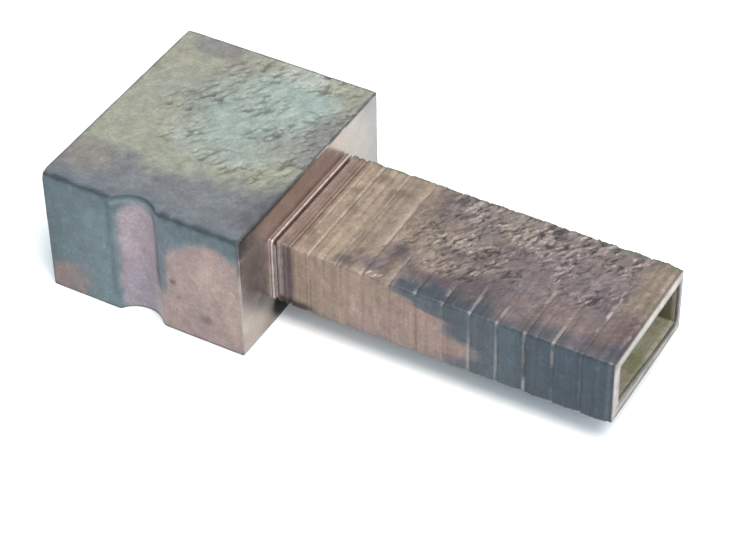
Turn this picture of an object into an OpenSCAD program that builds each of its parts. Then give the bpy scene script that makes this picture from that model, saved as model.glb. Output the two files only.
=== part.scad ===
// Brass block with a ribbed rectangular sleeve, for wiping and scraping the tip of a soldering iron.
// A hollow liner is brazed into a socket in the block. A stack of plates and stepped collars is threaded
// onto the liner and held at its free end by a mouth frame. All sizes are in millimetres.
// The origin is the centre of the block's underside, +Z is up, and the sleeve runs along +X.

/* [Block] */
// Length of the block, along the sleeve
block_len = 25; // [22:0.5:30]
// Width of the block, from the grooved front to the back
block_width = 29.8; // [26:0.2:34]
// Height of the block
block_height = 16.1; // [14:0.1:20]
// Radius on the four upright edges
corner_r = 0.5; // [0.3:0.1:1]
// Radius on the edges of the top and the underside
edge_r = 0.3; // [0.1:0.1:0.8]

/* [Wiping groove] */
// Radius of the half-round groove in the front face
groove_r = 3.4; // [2.5:0.1:4]
// Depth of the groove
groove_depth = 1.5; // [0.8:0.1:2]
// Place of the groove, measured from the middle of the front face
groove_x = -0.75; // [-4:0.25:4]

/* [Sleeve] */
// Outer width of the sleeve at its mouth
sleeve_width = 17; // [16:0.1:19]
// Outer height of the sleeve at its mouth
sleeve_height = 8.2; // [7.8:0.1:9]
// Height of the sleeve's centre line above the underside
sleeve_z = 7.6; // [5.5:0.1:8.5]
// Width of the passage inside the liner
bore_width = 14.3; // [12:0.1:14.4]
// Height of the passage inside the liner
bore_height = 5.3; // [4.6:0.1:5.6]
// Sideways offset of the passage, away from the grooved face
bore_y = 0.25; // [0:0.05:0.3]
// Wall of the liner
liner_wall = 0.6; // [0.4:0.05:0.7]
// Depth of the liner's socket in the block
socket_depth = 8; // [4:0.5:12]
// Thickness of the braze between the liner and its socket
braze_t = 0.15; // [0.1:0.05:0.25]

/* [Stack] */
// Thickness of the root plate, which lies against the block
root_plate_t = 0.3; // [0.3:0.05:0.8]
// Thickness of the recessed spacer after the root plate
spacer_t = 0.4; // [0.2:0.05:0.6]
// How far the spacer lies below the root plate's edge
spacer_recess = 0.6; // [0.2:0.05:0.7]
// Thickness of one shim plate
shim_t = 0.45; // [0.3:0.05:0.8]
// Length of the short collar after the shims
short_collar_len = 2.4; // [1.5:0.1:3]
// Length of each full collar
collar_len = 3.23; // [2.5:0.01:4]
// Number of full collars
collar_count = 11; // [6:1:14]
// How far the raised half of a collar stands above its low end, on each side
collar_rise = 0.25; // [0.1:0.05:0.35]
// Share of a collar's length that stays raised before it slopes down
raised_share = 0.45; // [0.2:0.05:0.7]
// Length of the steeper bevel at a collar's low end
bevel_len = 0.35; // [0.1:0.05:0.5]
// Thickness of the mouth frame
mouth_frame_t = 0.3; // [0.2:0.05:1]

/* [Hidden] */
$fn = 48;
// How far a cutter reaches past the face that it cuts
through = 1;
// How far each shim's edge lies below the root plate's edge
shim_insets = [0.05, 0.25, 0.1, 0.3];
shim_count = len(shim_insets);
// The raised half of a collar stands this far above the mouth frame, and its low end lies below it
collar_high = collar_rise / 2 + 0.025;
collar_low = collar_high - collar_rise;
// The bevel makes up half of the fall
collar_mid = collar_high - collar_rise / 2;
// The plates at the root are as wide as the raised half of a collar
root_width = sleeve_width + 2 * collar_high;
root_height = sleeve_height + 2 * collar_high;

liner_width = bore_width + 2 * liner_wall;
liner_height = bore_height + 2 * liner_wall;

// Places along the sleeve
face_x = block_len / 2;
spacer_x = face_x + root_plate_t;
shims_x = spacer_x + spacer_t;
short_collar_x = shims_x + shim_count * shim_t;
collars_x = short_collar_x + short_collar_len;
mouth_frame_x = collars_x + collar_count * collar_len;

function two_digits(i) = i < 10 ? str("0", i) : str(i);
function collar_name(i) = str("collar_", two_digits(i));
function shim_name(i) = str("shim_", i);

// Rectangle centred on the origin with four rounded corners
module rounded_rect(width, height, r) {
    square([width - 2 * r, height], center = true);
    square([width, height - 2 * r], center = true);
    for (side = [-1, 1], end = [-1, 1])
        translate([side * (width / 2 - r), end * (height / 2 - r)])
            circle(r = r);
}

// Rectangular bar along the sleeve, from x, centred on the sleeve's axis and moved sideways by y
module sleeve_bar(x, length, width, height, y = 0)
    translate([x, y - width / 2, sleeve_z - height / 2])
        cube([length, width, height]);

// The liner's outer shape, which every ring of the stack is threaded on
module liner_space(x, length)
    sleeve_bar(x - through, length + 2 * through, liner_width, liner_height, bore_y);

// A flat ring of the stack
module plate(x, thickness, width, height)
    difference() {
        sleeve_bar(x, thickness, width, height);
        liner_space(x, thickness);
    }

// Outline of a stepped collar, raised at the block's end and sloping down to a bevel at the mouth's end
function collar_outline(length, half) = [
    [0, -half - collar_high],
    [raised_share * length, -half - collar_high],
    [length - bevel_len, -half - collar_mid],
    [length, -half - collar_low],
    [length, half + collar_low],
    [length - bevel_len, half + collar_mid],
    [raised_share * length, half + collar_high],
    [0, half + collar_high],
];

// A stepped collar of the stack: the side view and the top view have the same stepped outline
module stepped_collar(x, length)
    difference() {
        translate([x, 0, sleeve_z])
            intersection() {
                linear_extrude(2 * root_height, center = true)
                    polygon(collar_outline(length, sleeve_width / 2));
                rotate([90, 0, 0])
                    linear_extrude(2 * root_width, center = true)
                        polygon(collar_outline(length, sleeve_height / 2));
            }
        liner_space(x, length);
    }

// Heat-stained block with a wiping groove in its front face and a blind socket for the liner
module block()
    color([0.52, 0.55, 0.50])
        difference() {
            translate([0, 0, block_height / 2])
                intersection() {
                    linear_extrude(block_height, center = true)
                        rounded_rect(block_len, block_width, corner_r);
                    rotate([90, 0, 0])
                        linear_extrude(block_width, center = true)
                            rounded_rect(block_len, block_height, edge_r);
                    rotate([90, 0, 90])
                        linear_extrude(block_len, center = true)
                            rounded_rect(block_width, block_height, edge_r);
                }
            translate([groove_x, groove_depth - block_width / 2 - groove_r, -through])
                cylinder(r = groove_r, h = block_height + 2 * through);
            sleeve_bar(
                face_x - socket_depth, socket_depth + through,
                liner_width + 2 * braze_t, liner_height + 2 * braze_t, bore_y
            );
        }

// Thin-walled tube from the bottom of the socket to the mouth frame
module liner_tube()
    color([0.55, 0.52, 0.33])
        difference() {
            sleeve_bar(
                face_x - socket_depth, socket_depth + mouth_frame_x - face_x,
                liner_width, liner_height, bore_y
            );
            sleeve_bar(
                face_x - socket_depth - through, socket_depth + mouth_frame_x - face_x + 2 * through,
                bore_width, bore_height, bore_y
            );
        }

// Braze that fills the gap between the liner and the walls of the socket
module braze_layer()
    color([0.78, 0.72, 0.62])
        difference() {
            sleeve_bar(
                face_x - socket_depth, socket_depth,
                liner_width + 2 * braze_t, liner_height + 2 * braze_t, bore_y
            );
            liner_space(face_x - socket_depth, socket_depth);
        }

// First plate of the stack, against the block
module root_plate()
    color([0.78, 0.66, 0.58])
        plate(face_x, root_plate_t, root_width, root_height);

// Small plate that leaves a slot round the stack; it lies flush on the grooved side only
module root_spacer()
    color([0.32, 0.24, 0.21])
        difference() {
            translate([0, -spacer_recess / 2, 0])
                sleeve_bar(spacer_x, spacer_t, root_width - spacer_recess, root_height - 2 * spacer_recess);
            liner_space(spacer_x, spacer_t);
        }

// One of the thin plates after the spacer, numbered from the block
module shim(i)
    color([0.50, 0.42, 0.38])
        plate(
            shims_x + (i - 1) * shim_t, shim_t,
            root_width - 2 * shim_insets[i - 1], root_height - 2 * shim_insets[i - 1]
        );

// Short stepped collar that follows the shims
module short_collar()
    color([0.67, 0.59, 0.47])
        stepped_collar(short_collar_x, short_collar_len);

// Full stepped collar, numbered from the block
module collar(i)
    color([0.55 - 0.01 * i, 0.46 - 0.01 * i, 0.41 - 0.005 * i])
        stepped_collar(collars_x + (i - 1) * collar_len, collar_len);

// Frame that closes the stack and rims the mouth of the passage
module mouth_frame()
    color([0.85, 0.81, 0.77])
        difference() {
            sleeve_bar(mouth_frame_x, mouth_frame_t, sleeve_width, sleeve_height);
            sleeve_bar(
                mouth_frame_x - through, mouth_frame_t + 2 * through,
                bore_width, bore_height, bore_y
            );
        }

block();
liner_tube();
braze_layer();
root_plate();
root_spacer();
for (i = [1 : shim_count])
    shim(i);
short_collar();
for (i = [1 : collar_count])
    collar(i);
mouth_frame();
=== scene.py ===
# Looks of a heat-stained cleaning block with a ribbed sleeve: worn meshes, patina, floor, light and camera.
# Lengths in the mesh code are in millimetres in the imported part's frame. make_piece() turns them into metres.
import math

import bpy
import numpy as np
from mathutils import Matrix, Vector

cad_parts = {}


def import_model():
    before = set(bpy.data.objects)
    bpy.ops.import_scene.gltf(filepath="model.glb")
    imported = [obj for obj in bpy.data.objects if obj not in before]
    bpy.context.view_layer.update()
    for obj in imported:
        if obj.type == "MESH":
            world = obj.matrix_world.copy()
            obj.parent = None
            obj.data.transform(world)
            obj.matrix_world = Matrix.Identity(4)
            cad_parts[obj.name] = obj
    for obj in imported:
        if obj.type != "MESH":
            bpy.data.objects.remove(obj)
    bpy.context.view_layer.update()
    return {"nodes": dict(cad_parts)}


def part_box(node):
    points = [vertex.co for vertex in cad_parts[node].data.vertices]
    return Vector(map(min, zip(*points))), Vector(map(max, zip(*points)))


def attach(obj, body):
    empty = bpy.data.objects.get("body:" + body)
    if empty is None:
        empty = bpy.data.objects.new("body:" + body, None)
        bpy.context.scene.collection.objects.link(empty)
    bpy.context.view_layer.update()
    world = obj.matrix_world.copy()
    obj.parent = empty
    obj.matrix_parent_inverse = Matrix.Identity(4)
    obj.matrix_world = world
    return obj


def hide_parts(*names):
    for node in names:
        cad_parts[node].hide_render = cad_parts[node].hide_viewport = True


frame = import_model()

MM = 0.001


def cad_box(node):
    """Lowest and highest corner of a CAD node, in millimetres."""
    low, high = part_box(node)
    return np.array(low) / MM, np.array(high) / MM


# -------------------- sizes, from the frame where it has them

BLOCK_LOW, BLOCK_HIGH = cad_box("block")
ROOT_LOW, ROOT_HIGH = cad_box("root_plate")
MOUTH_LOW, MOUTH_HIGH = cad_box("mouth_frame")
LINER_LOW, LINER_HIGH = cad_box("liner_tube")
FACE_X = BLOCK_HIGH[0]
SLEEVE_Z = (ROOT_LOW[2] + ROOT_HIGH[2]) / 2
SLEEVE_CENTRE = (0, SLEEVE_Z)
BORE_Y = (LINER_LOW[1] + LINER_HIGH[1]) / 2
BORE_CENTRE = (BORE_Y, SLEEVE_Z)
MOUTH_HALF_Y, MOUTH_HALF_Z = (MOUTH_HIGH[1:] - MOUTH_LOW[1:]) / 2
LINER_HALF_Y, LINER_HALF_Z = (LINER_HIGH[1:] - LINER_LOW[1:]) / 2

# The same as part.scad makes them, with GROOVE_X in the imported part's frame
LINER_WALL = 0.6
GROOVE_R = 3.4
GROOVE_DEPTH = 1.5
GROOVE_X = -0.75

# Collars: their rise above the mouth frame, fall along the slope, where the slope starts, and the bevel's length
COLLAR_RISE = ROOT_HIGH[1] - MOUTH_HIGH[1]
COLLAR_FALL = 0.15
RAISED_SHARE = 0.45
BEVEL_LEN = 0.45

# Corner radii of the sections
SLEEVE_CORNER = 0.42
MOUTH_CORNER = 0.3
LINER_CORNER = 0.05

# Mesh fineness. A smaller grid step takes the block's mesh past 200 000 triangles
GRID_STEP = 0.178
ROW_STEP = 0.105
EDGE_ROWS = (0.05, 0.12, 0.22, 0.35, 0.5, 0.65)

# Torn flakes lie aslant by this much x for each y. Their slope is taken over the step
SLANT = 0.5
SLOPE_STEP = 0.2
BLOCK_FLAKE = 0.6
SLEEVE_FLAKE = 0.42

# What this scene's light makes of a base colour: screen value = gain * base + haze, both linear
LIGHT_GAIN = 1.06
LIGHT_HAZE = 0.035
BARE_METAL = (204, 192, 182)


# -------------------- repeatable noise and masks
# Every use of noise gives its own fixed seed, so each run draws the same marks.

NOISE_SHIFT = 61.7


def lattice_value(cell, seed):
    """A repeatable value from 0 to 1 for each whole-number cell of a 3-D lattice."""
    h = cell[..., 0] * 374761393 + cell[..., 1] * 668265263 + cell[..., 2] * 1440662683 + seed * 974634777
    h = h & 0x7FFFFFFF
    h = ((h ^ (h >> 13)) * 1274126177) & 0x7FFFFFFF
    h = ((h ^ (h >> 15)) * 1911520717) & 0x7FFFFFFF
    return ((h ^ (h >> 16)) & 0xFFFF) / 65535.0


def noise(p, size, seed=0):
    """Smooth noise from 0 to 1 at points p, with bumps about size across (one number, or one per axis)."""
    q = p / np.asarray(size, float) + NOISE_SHIFT
    cell = np.floor(q).astype(np.int64)
    t = q - cell
    t = t * t * (3 - 2 * t)
    total = np.zeros(p.shape[:-1])
    for corner in np.ndindex(2, 2, 2):
        step = np.array(corner)
        weight = np.where(step, t, 1 - t).prod(-1)
        total += weight * lattice_value(cell + step, seed)
    return total


def rough_noise(p, size, seed=0, octaves=4):
    """Several layers of noise, each half the size and half the strength of the one before, from 0 to 1."""
    layers = [noise(p, np.asarray(size, float) / 2**k, seed + 17 * k) * 0.5**k for k in range(octaves)]
    return sum(layers) / (2 - 0.5 ** (octaves - 1))


def torn(p, width, seed):
    """Heights of a torn metal surface, from about 0 to 1: ragged flakes and hollows that lie aslant."""
    drift = rough_noise(p, 0.8, seed + 1, 2) - 0.5
    q = p + np.stack([0.5 * drift - SLANT * p[..., 1], 0.8 * drift, 0 * drift], -1)
    flakes = ramp(0.34, 0.66, rough_noise(q, (width, 1.8 * width, 1.8 * width), seed, 2))
    splinters = ramp(0.3, 0.7, rough_noise(q, (0.5 * width, width, width), seed + 5, 2))
    return 0.58 * flakes + 0.42 * splinters


def tool_lines(p):
    """Fine crosswise lines along x, broken up and uneven, from about -0.5 to 0.5."""
    flat = p * np.array([1.0, 0, 0])
    fine = 0.45 * noise(flat, 0.24, 301) + 0.3 * noise(flat, 0.5, 303) + 0.35 * noise(flat, 1.1, 307) - 0.55
    return fine * (0.5 + 1.2 * noise(p, (0.5, 5, 5), 311))


def ramp(low, high, value):
    """0 below low, 1 above high, and smooth between. With high below low it falls instead."""
    t = np.clip((value - low) / (high - low), 0, 1)
    return t * t * (3 - 2 * t)


def hump(value, centre, width=1.0):
    """A bell curve that is 1 at the centre."""
    return np.exp(-(((value - centre) / width) ** 2))


def leaning(p, lean=SLANT, across=0.0):
    """The points moved along x in proportion to y, so that what is drawn by them lies aslant."""
    moved = p.copy()
    moved[..., 0] -= lean * (p[..., 1] - across)
    return moved


def spot(p, centre, radii):
    """1 at the centre of an ellipsoid, 0 on its surface and negative outside."""
    return 1 - np.linalg.norm((p - np.array(centre)) / np.array(radii), axis=-1)


def srgb(red, green, blue):
    """A linear colour from the 0 to 255 values of a screen colour."""
    c = np.array([red, green, blue]) / 255
    return np.where(c <= 0.04045, c / 12.92, ((c + 0.055) / 1.055) ** 2.4)


def under_light(red, green, blue):
    """The base colour of a surface that reads as the given screen colour in this scene's light."""
    return np.maximum((srgb(red, green, blue) - LIGHT_HAZE) / LIGHT_GAIN, 0.004)


class Paint:
    """Colours, one per point, built up in layers. They are given as they should read on screen."""

    def __init__(self, count, colour):
        self.colour = np.tile(under_light(*colour), (count, 1))

    def over(self, colour, mask):
        self.colour += (under_light(*colour) - self.colour) * np.clip(mask, 0, 1)[:, None]

    def scale(self, factor):
        self.colour *= factor[:, None]


# -------------------- meshes

def stations(points, step):
    """Places along an axis: every given point, and evenly spaced ones no more than step apart between them."""
    places = [points[0]]
    for a, b in zip(points, points[1:]):
        places += list(np.linspace(a, b, max(1, math.ceil((b - a) / step - 1e-6)) + 1)[1:])
    return np.array(places)


def solid_surface(axes, filled):
    """Vertices and outward quads of the surface round the filled cells of a grid."""
    shape = tuple(len(a) for a in axes)
    padded = np.pad(filled, 1)
    unit = np.eye(3, dtype=int)
    quads = []
    for axis in range(3):
        before = [slice(1, -1)] * 3
        after = [slice(1, -1)] * 3
        before[axis] = slice(None, -1)
        after[axis] = slice(1, None)
        low, high = padded[tuple(before)], padded[tuple(after)]
        u, v = unit[(axis + 1) % 3], unit[(axis + 2) % 3]
        for turn, where in ((1, low & ~high), (-1, high & ~low)):
            cells = np.argwhere(where)
            corners = np.stack([cells, cells + u, cells + u + v, cells + v], 1)[:, ::turn]
            quads.append(np.ravel_multi_index(tuple(np.moveaxis(corners, -1, 0)), shape))
    used, faces = np.unique(np.concatenate(quads), return_inverse=True)
    places = np.unravel_index(used, shape)
    return np.stack([a[i] for a, i in zip(axes, places)], 1), faces.reshape(-1, 4)


def ring_template(side_y, side_z, corner):
    """Points round a rounded rectangle: the share of the way to each core corner, and the outward direction."""
    core, out = [], []
    signs = [(1, 1), (-1, 1), (-1, -1), (1, -1)]
    for q in range(4):
        here, there = np.array(signs[q], float), np.array(signs[(q + 1) % 4], float)
        for i in range(corner + 1):
            angle = math.pi / 2 * (q + i / corner)
            core.append(here)
            out.append((math.cos(angle), math.sin(angle)))
        count = side_y if q % 2 == 0 else side_z
        for i in range(1, count):
            core.append(here + (there - here) * i / count)
            out.append((math.cos(math.pi / 2 * (q + 1)), math.sin(math.pi / 2 * (q + 1))))
    return np.array(core), np.array(out)


def ring_loops(template, xs, half_y, half_z, radius, centre):
    """One loop of points for each x, as an array (loops, points, 3), and its outward directions."""
    core, out = template
    xs, half_y, half_z, radius = np.broadcast_arrays(xs, half_y, half_z, radius)
    r = radius[:, None]
    y = centre[0] + core[None, :, 0] * (half_y[:, None] - r) + out[None, :, 0] * r
    z = centre[1] + core[None, :, 1] * (half_z[:, None] - r) + out[None, :, 1] * r
    x = np.broadcast_to(xs[:, None], y.shape)
    normals = np.zeros(y.shape + (3,))
    normals[..., 1:] = out[None]
    return np.stack([x, y, z], -1), normals


def closed_tube(loops):
    """Quads that join loop to loop and the last loop to the first, so that the ring is closed."""
    m, n = loops.shape[:2]
    i, j = np.meshgrid(np.arange(m), np.arange(n), indexing="ij")
    i2, j2 = (i + 1) % m, (j + 1) % n
    return np.stack([i * n + j, i * n + j2, i2 * n + j2, i2 * n + j], -1).reshape(-1, 4)


def between(first, last, count):
    """count loops evenly between two loops, without the two."""
    shares = np.arange(1, count + 1) / (count + 1)
    return first[None] + (last - first)[None] * shares[:, None, None]


def make_piece(name, node, points, faces, material, colours, bare=None):
    """A smooth mesh piece in place of a CAD node, with its stains, painted light and shade, and its share of
    bare metal on the points.
    """
    mesh = bpy.data.meshes.new(name)
    mesh.vertices.add(len(points))
    mesh.vertices.foreach_set("co", (points * MM).astype(np.float32).ravel())
    mesh.loops.add(faces.size)
    mesh.loops.foreach_set("vertex_index", faces.astype(np.int32).ravel())
    mesh.polygons.add(len(faces))
    mesh.polygons.foreach_set("loop_start", np.arange(0, faces.size, faces.shape[1], dtype=np.int32))
    mesh.update(calc_edges=True)
    mesh.validate()
    mesh.polygons.foreach_set("use_smooth", np.ones(len(faces), bool))
    stain_and_painted_light = mesh.color_attributes.new("stain_and_painted_light", "FLOAT_COLOR", "POINT")
    rgba = np.concatenate([colours, np.ones((len(colours), 1))], 1)
    stain_and_painted_light.data.foreach_set("color", rgba.astype(np.float32).ravel())
    if bare is not None:
        layer = mesh.attributes.new("bare", "FLOAT", "POINT")
        layer.data.foreach_set("value", bare.astype(np.float32).ravel())
    piece = bpy.data.objects.new(name, mesh)
    bpy.context.scene.collection.objects.link(piece)
    mesh.materials.append(material)
    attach(piece, "root")
    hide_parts(node)
    return piece


# -------------------- materials

class Nodes:
    """Short calls for building a node tree."""

    def __init__(self, name):
        self.material = bpy.data.materials.new(name)
        self.material.use_nodes = True
        self.tree = self.material.node_tree
        self.shader = self.tree.nodes["Principled BSDF"]
        self.place = self.add("ShaderNodeTexCoord").outputs["Object"]

    def add(self, kind, **settings):
        node = self.tree.nodes.new(kind)
        for key, value in settings.items():
            setattr(node, key, value)
        return node

    def set(self, socket, value):
        if isinstance(value, bpy.types.NodeSocket):
            self.tree.links.new(value, socket)
        elif hasattr(socket.default_value, "__len__") and len(socket.default_value) == 4:
            socket.default_value = (*value, 1)
        else:
            socket.default_value = value

    def noise(self, size, stretch=(1, 1, 1), detail=3, roughness=0.6):
        """Noise from about 0 to 1 with bumps of size mm, longer along an axis whose stretch is above 1."""
        mapping = self.add("ShaderNodeMapping")
        self.set(mapping.inputs["Vector"], self.place)
        mapping.inputs["Scale"].default_value = [1 / (MM * size * s) for s in stretch]
        texture = self.add("ShaderNodeTexNoise")
        self.set(texture.inputs["Vector"], mapping.outputs["Vector"])
        texture.inputs["Scale"].default_value = 1
        texture.inputs["Detail"].default_value = detail
        texture.inputs["Roughness"].default_value = roughness
        return texture.outputs["Fac"]

    def attribute(self, name, colour=False):
        node = self.add("ShaderNodeAttribute", attribute_name=name)
        return node.outputs["Color" if colour else "Fac"]

    def fit(self, value, low, high, to_low=0.0, to_high=1.0):
        """value moved from the range low to high into another range, and held there."""
        node = self.add("ShaderNodeMapRange", clamp=True)
        self.set(node.inputs["Value"], value)
        for key, number in (("From Min", low), ("From Max", high), ("To Min", to_low), ("To Max", to_high)):
            node.inputs[key].default_value = number
        return node.outputs["Result"]

    def math(self, operation, a, b=0.0):
        node = self.add("ShaderNodeMath", operation=operation)
        self.set(node.inputs[0], a)
        self.set(node.inputs[1], b)
        return node.outputs[0]

    def mix(self, fac, a, b, blend="MIX"):
        """A colour mix. A plain colour is three linear numbers."""
        node = self.add("ShaderNodeMix", data_type="RGBA", blend_type=blend)
        self.set(node.inputs[0], fac)
        self.set(node.inputs[6], a)
        self.set(node.inputs[7], b)
        return node.outputs[2]

    def bump(self, height, depth, before=None):
        """A bump of depth millimetres, on top of another bump if one is given."""
        node = self.add("ShaderNodeBump")
        self.set(node.inputs["Height"], height)
        node.inputs["Strength"].default_value = 1
        node.inputs["Distance"].default_value = depth * MM
        if before is not None:
            self.set(node.inputs["Normal"], before)
        return node.outputs["Normal"]

    def finish(self, **sockets):
        for key, value in sockets.items():
            self.set(self.shader.inputs[key.replace("_", " ")], value)
        return self.material


def patina(name, line_depth, grain_depth, metallic, rough, worn=False):
    """Stained metal: the stains, with painted light, shade and reflections, come from the mesh, and grain,
    specks, fine lines and gloss from noise.

    Where worn is true, the mesh's "bare" share shows as bright metal. Depths are in millimetres.
    """
    n = Nodes(name)
    stain_and_painted_light = n.attribute("stain_and_painted_light", colour=True)
    mottle = n.noise(1.3, detail=5, roughness=0.7)
    grain = n.noise(0.3, detail=4, roughness=0.7)
    colour = n.mix(n.fit(mottle, 0.3, 0.7), n.mix(1.0, stain_and_painted_light, (0.74, 0.72, 0.72), "MULTIPLY"), stain_and_painted_light)
    colour = n.mix(n.fit(mottle, 0.62, 0.8, 0.0, 0.12), colour, srgb(206, 198, 186))
    colour = n.mix(n.fit(grain, 0.3, 0.7, 0.5, 0.0), colour, n.mix(1.0, colour, (0.45, 0.44, 0.46), "MULTIPLY"))
    colour = n.mix(n.fit(grain, 0.55, 0.8, 0.0, 0.3), colour, n.mix(1.0, colour, (1.6, 1.55, 1.5), "MULTIPLY"))
    if worn:
        bare = n.math("MULTIPLY", n.attribute("bare"), n.fit(grain, 0.25, 0.55, 0.35, 1.0))
        colour = n.mix(bare, colour, srgb(*BARE_METAL))
        metallic = n.math("MAXIMUM", n.math("MULTIPLY", bare, 0.8), metallic)
    roughness = n.fit(mottle, 0.3, 0.7, *rough)
    normal = n.bump(grain, grain_depth)
    if line_depth:
        normal = n.bump(n.noise(0.2, stretch=(1, 16, 16), detail=3), line_depth, normal)
    return n.finish(Base_Color=colour, Roughness=roughness, Metallic=metallic, Normal=normal)


def filler(name, colour, tint, rough):
    """Bright filler metal: fine grain, faint stains, and small changes of gloss."""
    n = Nodes(name)
    grain = n.noise(0.12, detail=2)
    cloud = n.noise(3.0, detail=4)
    base = n.mix(n.fit(cloud, 0.35, 0.7), srgb(*colour), srgb(*tint))
    base = n.mix(n.fit(grain, 0.3, 0.7, 0.0, 0.35), base, n.mix(1.0, base, srgb(190, 184, 176), "MULTIPLY"))
    roughness = n.fit(cloud, 0.3, 0.7, *rough)
    return n.finish(Base_Color=base, Roughness=roughness, Metallic=1.0, Normal=n.bump(grain, 0.006))


def mirror(name, rough):
    """A smooth machined face with a faint haze, whose colour, with its painted reflections and shadow, comes
    from the mesh.
    """
    n = Nodes(name)
    stain_and_painted_light = n.attribute("stain_and_painted_light", colour=True)
    lines = n.noise(0.12, stretch=(14, 14, 1), detail=2)
    cloud = n.noise(2.0, detail=5, roughness=0.65)
    colour = n.mix(n.fit(cloud, 0.35, 0.7), n.mix(1.0, stain_and_painted_light, (0.86, 0.84, 0.82), "MULTIPLY"), stain_and_painted_light)
    roughness = n.fit(cloud, 0.3, 0.7, *rough)
    return n.finish(Base_Color=colour, Roughness=roughness, Metallic=0.8, Normal=n.bump(lines, 0.002))


# -------------------- block

def groove_depth_at(x):
    """How deep the groove is at x, negative outside its lips."""
    u = np.abs(x - GROOVE_X)
    floor_at = GROOVE_R - GROOVE_DEPTH
    inside = np.sqrt(np.maximum(GROOVE_R**2 - u**2, 0)) - floor_at
    return np.where(u < GROOVE_R, inside, -floor_at - (u - GROOVE_R))


def block_mesh():
    """The block's surface: points, faces, outward directions and which points are on the outside."""
    keys = []
    socket_low, socket_high = cad_box("braze_layer")
    socket = [(socket_low[0], FACE_X), (socket_low[1], socket_high[1]), (socket_low[2], socket_high[2])]
    for axis in range(3):
        low, high = BLOCK_LOW[axis], BLOCK_HIGH[axis]
        points = {low, high, *socket[axis]} | {low + e for e in EDGE_ROWS} | {high - e for e in EDGE_ROWS}
        keys.append(stations(sorted(points), GRID_STEP if axis < 2 else 2 * GRID_STEP))
    middle = [(a[1:] + a[:-1]) / 2 for a in keys]
    inside = [(m > s[0]) & (m < s[1]) for m, s in zip(middle, socket)]
    filled = ~(inside[0][:, None, None] & inside[1][None, :, None] & inside[2][None, None, :])
    points, faces = solid_surface(keys, filled)
    outer = np.any((points == BLOCK_LOW) | (points == BLOCK_HIGH), axis=1)
    gap = np.minimum(points - BLOCK_LOW, BLOCK_HIGH - points)
    upright = ramp(1.2, 0.3, np.hypot(gap[:, 0], gap[:, 1]))
    front_top = ramp(1.2, 0.3, np.hypot(points[:, 1] - BLOCK_LOW[1], points[:, 2] - BLOCK_HIGH[2]))
    radius = 0.08 + 0.14 * rough_noise(points, 1.4, 5, 3) + np.maximum(0.06 * upright, 0.28 * front_top)
    radius = radius[:, None]
    core = np.clip(points, BLOCK_LOW + radius, BLOCK_HIGH - radius)
    out = np.where(outer[:, None], points - core, 0)
    length = np.linalg.norm(out, axis=1, keepdims=True)
    out = out / np.maximum(length, 1e-9)
    points = np.where(outer[:, None], core + radius * out, points)
    return points, faces, out, outer


def torn_zone(p):
    """Where the block's top is torn, from 0 to 1: patches, each with its centre and radii."""
    patches = (
        ((-3.2, 8.5, 16), (2.4, 5.0, 6)), ((-5.0, 3.5, 16), (2.6, 3.6, 6)), ((-2.8, -1.2, 16), (3.4, 3.2, 6)),
        ((0.5, 12.2, 16), (4.8, 2.2, 6)), ((6.5, 13.2, 16), (5.0, 2.0, 6)), ((11.0, 6.0, 16), (3.2, 6.5, 6)),
        ((10.3, -1.0, 16), (3.4, 3.4, 6)), ((6.0, 3.0, 16), (3.6, 3.2, 6)), ((7.0, -4.0, 16), (4.5, 2.2, 6)),
        ((1.5, -3.2, 16), (4.5, 1.8, 6)), ((2.0, 7.0, 16), (4.0, 3.0, 6)),
    )
    nearest = np.max([spot(p, c, r) for c, r in patches], axis=0)
    return ramp(-0.25, 0.4, nearest + 0.6 * (rough_noise(p, 2.2, 7, 3) - 0.5))


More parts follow.
